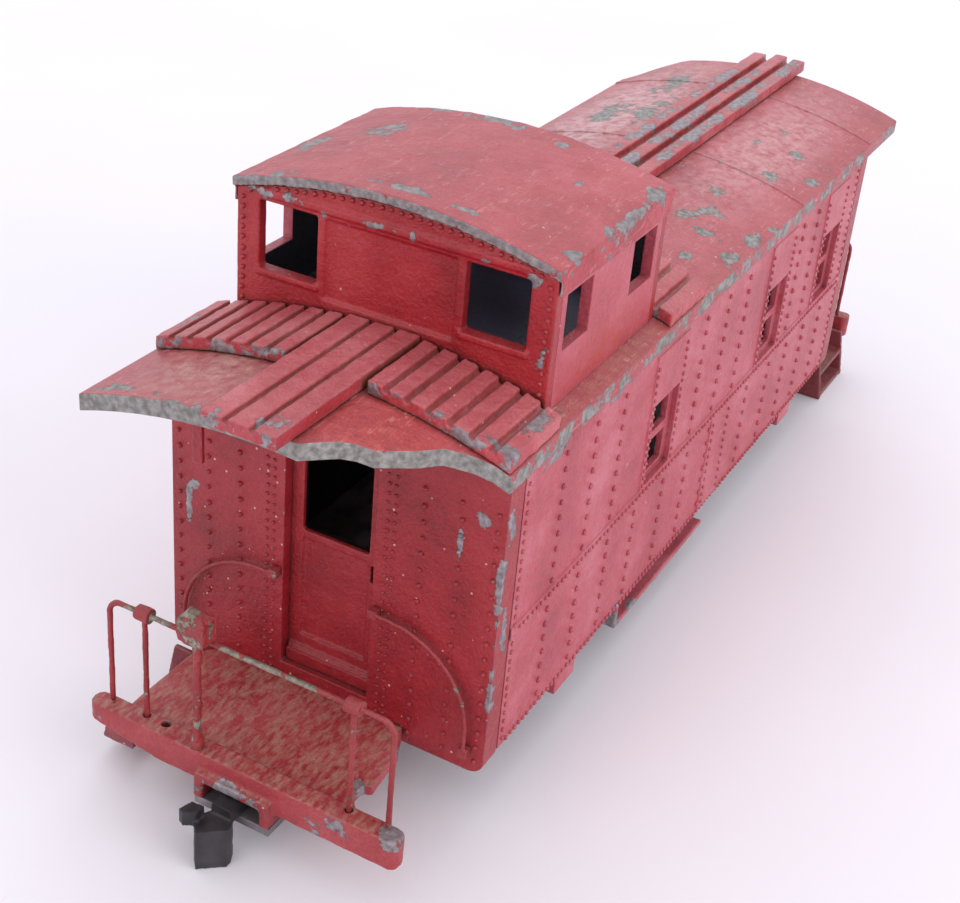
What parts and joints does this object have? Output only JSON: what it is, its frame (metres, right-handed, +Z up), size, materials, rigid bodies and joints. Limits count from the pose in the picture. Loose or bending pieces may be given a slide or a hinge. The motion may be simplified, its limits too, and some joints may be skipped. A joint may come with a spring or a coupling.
{
  "type": "model caboose",
  "caption": "HO scale riveted steel caboose body of painted cast metal with cupola, end platforms, railings and swinging couplers, worn and without trucks.",
  "frame": {"origin": "on the resting surface, below the middle of the car", "axes": "+X along the car towards the cupola end, +Y to the right side, +Z up"},
  "size_m": [0.1318, 0.0346, 0.0534],
  "materials": {
    "paint_body": "worn satin enamel over cast zinc",
    "paint_roof": "worn, chipped enamel over cast zinc",
    "paint_platform": "worn enamel with dirt over cast zinc",
    "paint_wire": "brushed enamel on wire and castings",
    "bare_casting": "bare dull cast zinc alloy",
    "screw_steel": "plated steel",
    "coupler_plastic": "moulded, matte black",
    "spring_bronze": "phosphor bronze leaf"
  },
  "bodies": {
    "body_shell": {"side_wall_right": "paint_body", "side_wall_left": "paint_body", "end_wall_front": "paint_body", "end_wall_rear": "paint_body", "door_front": "paint_body", "door_rear": "paint_body", "cupola_front_wall": "paint_body", "cupola_rear_wall": "paint_body", "cupola_side_right": "paint_body", "cupola_side_left": "paint_body", "main_roof": "paint_roof", "cupola_roof": "paint_roof", "running_board_front": "paint_roof", "running_board_rear": "paint_roof", "walkway_front_right": "paint_roof", "walkway_front_left": "paint_roof", "walkway_rear_right": "paint_roof", "walkway_rear_left": "paint_roof", "platform_front": "paint_platform", "platform_rear": "paint_platform", "step_front_left": "paint_platform", "step_rear_left": "paint_platform", "step_rear_right": "paint_platform", "ladder_strap": "paint_platform", "railing_front": "paint_wire", "railing_rear": "paint_wire", "brake_staff_front": "paint_wire", "brake_staff_rear": "paint_wire", "handrail_front_right": "paint_wire", "handrail_front_left": "paint_wire", "handrail_rear_right": "paint_wire", "handrail_rear_left": "paint_wire", "floor_plate": "bare_casting", "centre_sill": "bare_casting", "bolster_front": "bare_casting", "bolster_rear": "bare_casting", "equipment_channel_right": "bare_casting", "equipment_channel_left": "bare_casting", "pocket_cover_front": "bare_casting", "pocket_cover_rear": "bare_casting", "floor_screws": "screw_steel", "pocket_screw_front": "screw_steel", "pocket_screw_rear": "screw_steel"},
    "coupler_front_body": {"coupler_front": "coupler_plastic", "coupler_spring_front": "spring_bronze"},
    "coupler_rear_body": {"coupler_rear": "coupler_plastic", "coupler_spring_rear": "spring_bronze"}
  },
  "joints": [
    {"name": "front_coupler_swing", "type": "hinge", "parent": "body_shell", "child": "coupler_front_body", "pos_m": [0.055, 0, 0.00445], "axis": [0, 0, 1], "range_deg": [-12, 12], "stiffness_Nm_per_rad": 0.0002},
    {"name": "rear_coupler_swing", "type": "hinge", "parent": "body_shell", "child": "coupler_rear_body", "pos_m": [-0.055, 0, 0.00445], "axis": [0, 0, 1], "range_deg": [-12, 12], "stiffness_Nm_per_rad": 0.0002}
  ]
}
